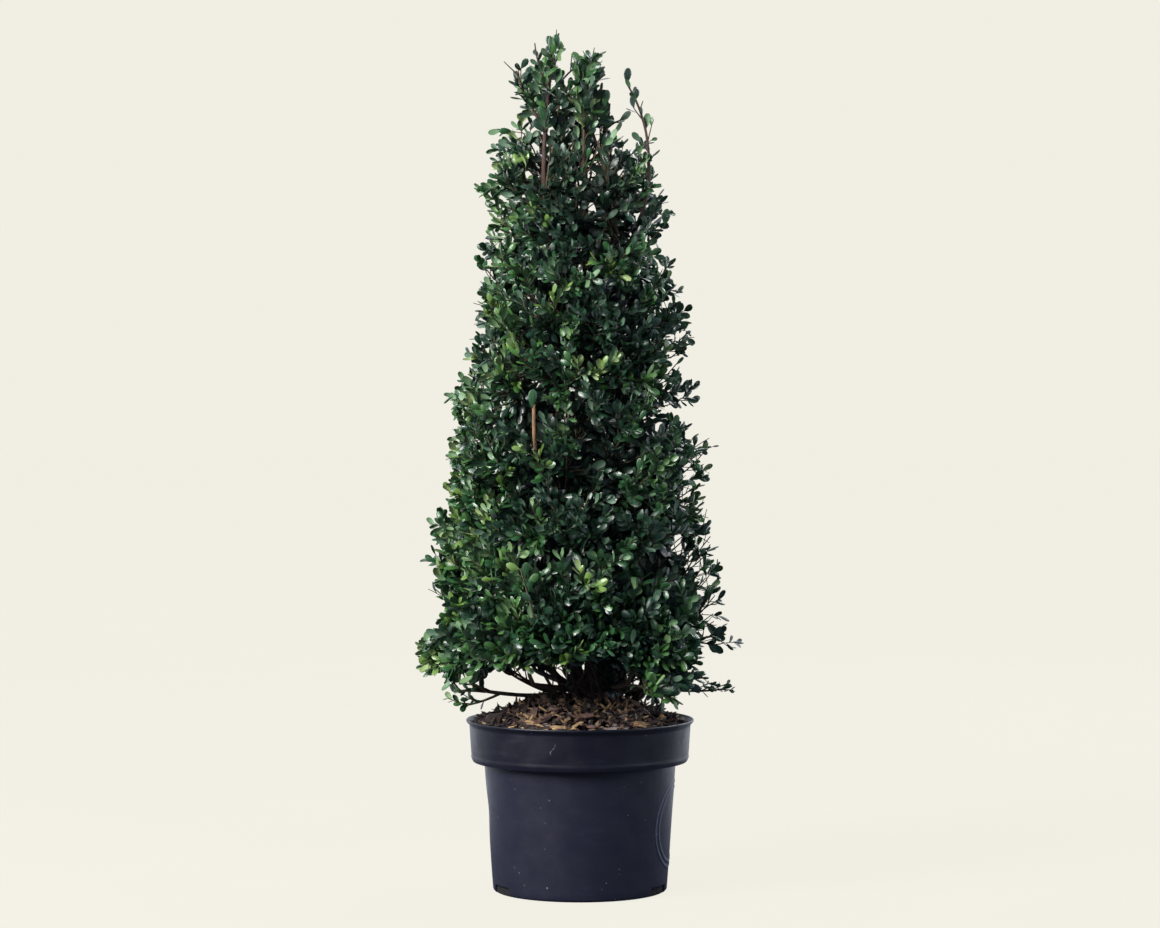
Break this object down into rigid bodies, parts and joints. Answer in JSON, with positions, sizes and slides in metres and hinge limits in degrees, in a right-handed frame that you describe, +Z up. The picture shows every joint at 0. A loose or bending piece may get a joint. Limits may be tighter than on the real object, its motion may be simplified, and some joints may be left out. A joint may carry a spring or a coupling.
{
  "type": "potted japanese holly cone",
  "caption": "Evergreen shrub with small rounded leaves, clipped to a tall cone over a short forked trunk, standing in a round dark nursery pot filled with soil and bark mulch.",
  "frame": {"origin": "centre of the pot's flat underside", "axes": "+Z up along the pot's axis, -Y towards the viewer of the picture, +X to the viewer's right"},
  "size_m": [0.4092, 0.3841, 1.0555],
  "materials": {
    "pot": "dark charcoal blow-moulded plastic with a satin sheen and fine scuffs",
    "soil": "dark moist potting mix",
    "mulch": "dry shredded bark in mixed tan and brown",
    "bark": "rough grey-brown bark, paler on pruned shoots",
    "leaf": "glossy dark green leaves with some yellow-green young ones"
  },
  "bodies": {
    "root": {"pot": "pot", "potting_soil": "soil", "bark_mulch": "mulch", "trunk": "bark", "leader_left": "bark", "leader_middle": "bark", "leader_right": "bark", "cut_shoot": "bark", "bough_right": "bark", "bough_back_right": "bark", "bough_back_left": "bark", "bough_left": "bark", "bough_front_left": "bark", "bough_front_right": "bark", "foliage_skirt_1": "leaf", "foliage_skirt_2": "leaf", "foliage_skirt_3": "leaf", "foliage_skirt_4": "leaf", "foliage_skirt_5": "leaf", "foliage_skirt_6": "leaf", "foliage_middle_1": "leaf", "foliage_middle_2": "leaf", "foliage_middle_3": "leaf", "foliage_middle_4": "leaf", "foliage_middle_5": "leaf", "foliage_upper_1": "leaf", "foliage_upper_2": "leaf", "foliage_upper_3": "leaf", "foliage_upper_4": "leaf", "foliage_shoulder_1": "leaf", "foliage_shoulder_2": "leaf", "foliage_shoulder_3": "leaf", "foliage_top_left": "leaf", "foliage_top_middle": "leaf", "foliage_top_right": "leaf", "foliage_sprig_left": "leaf", "foliage_sprig_right": "leaf"}
  },
  "joints": []
}
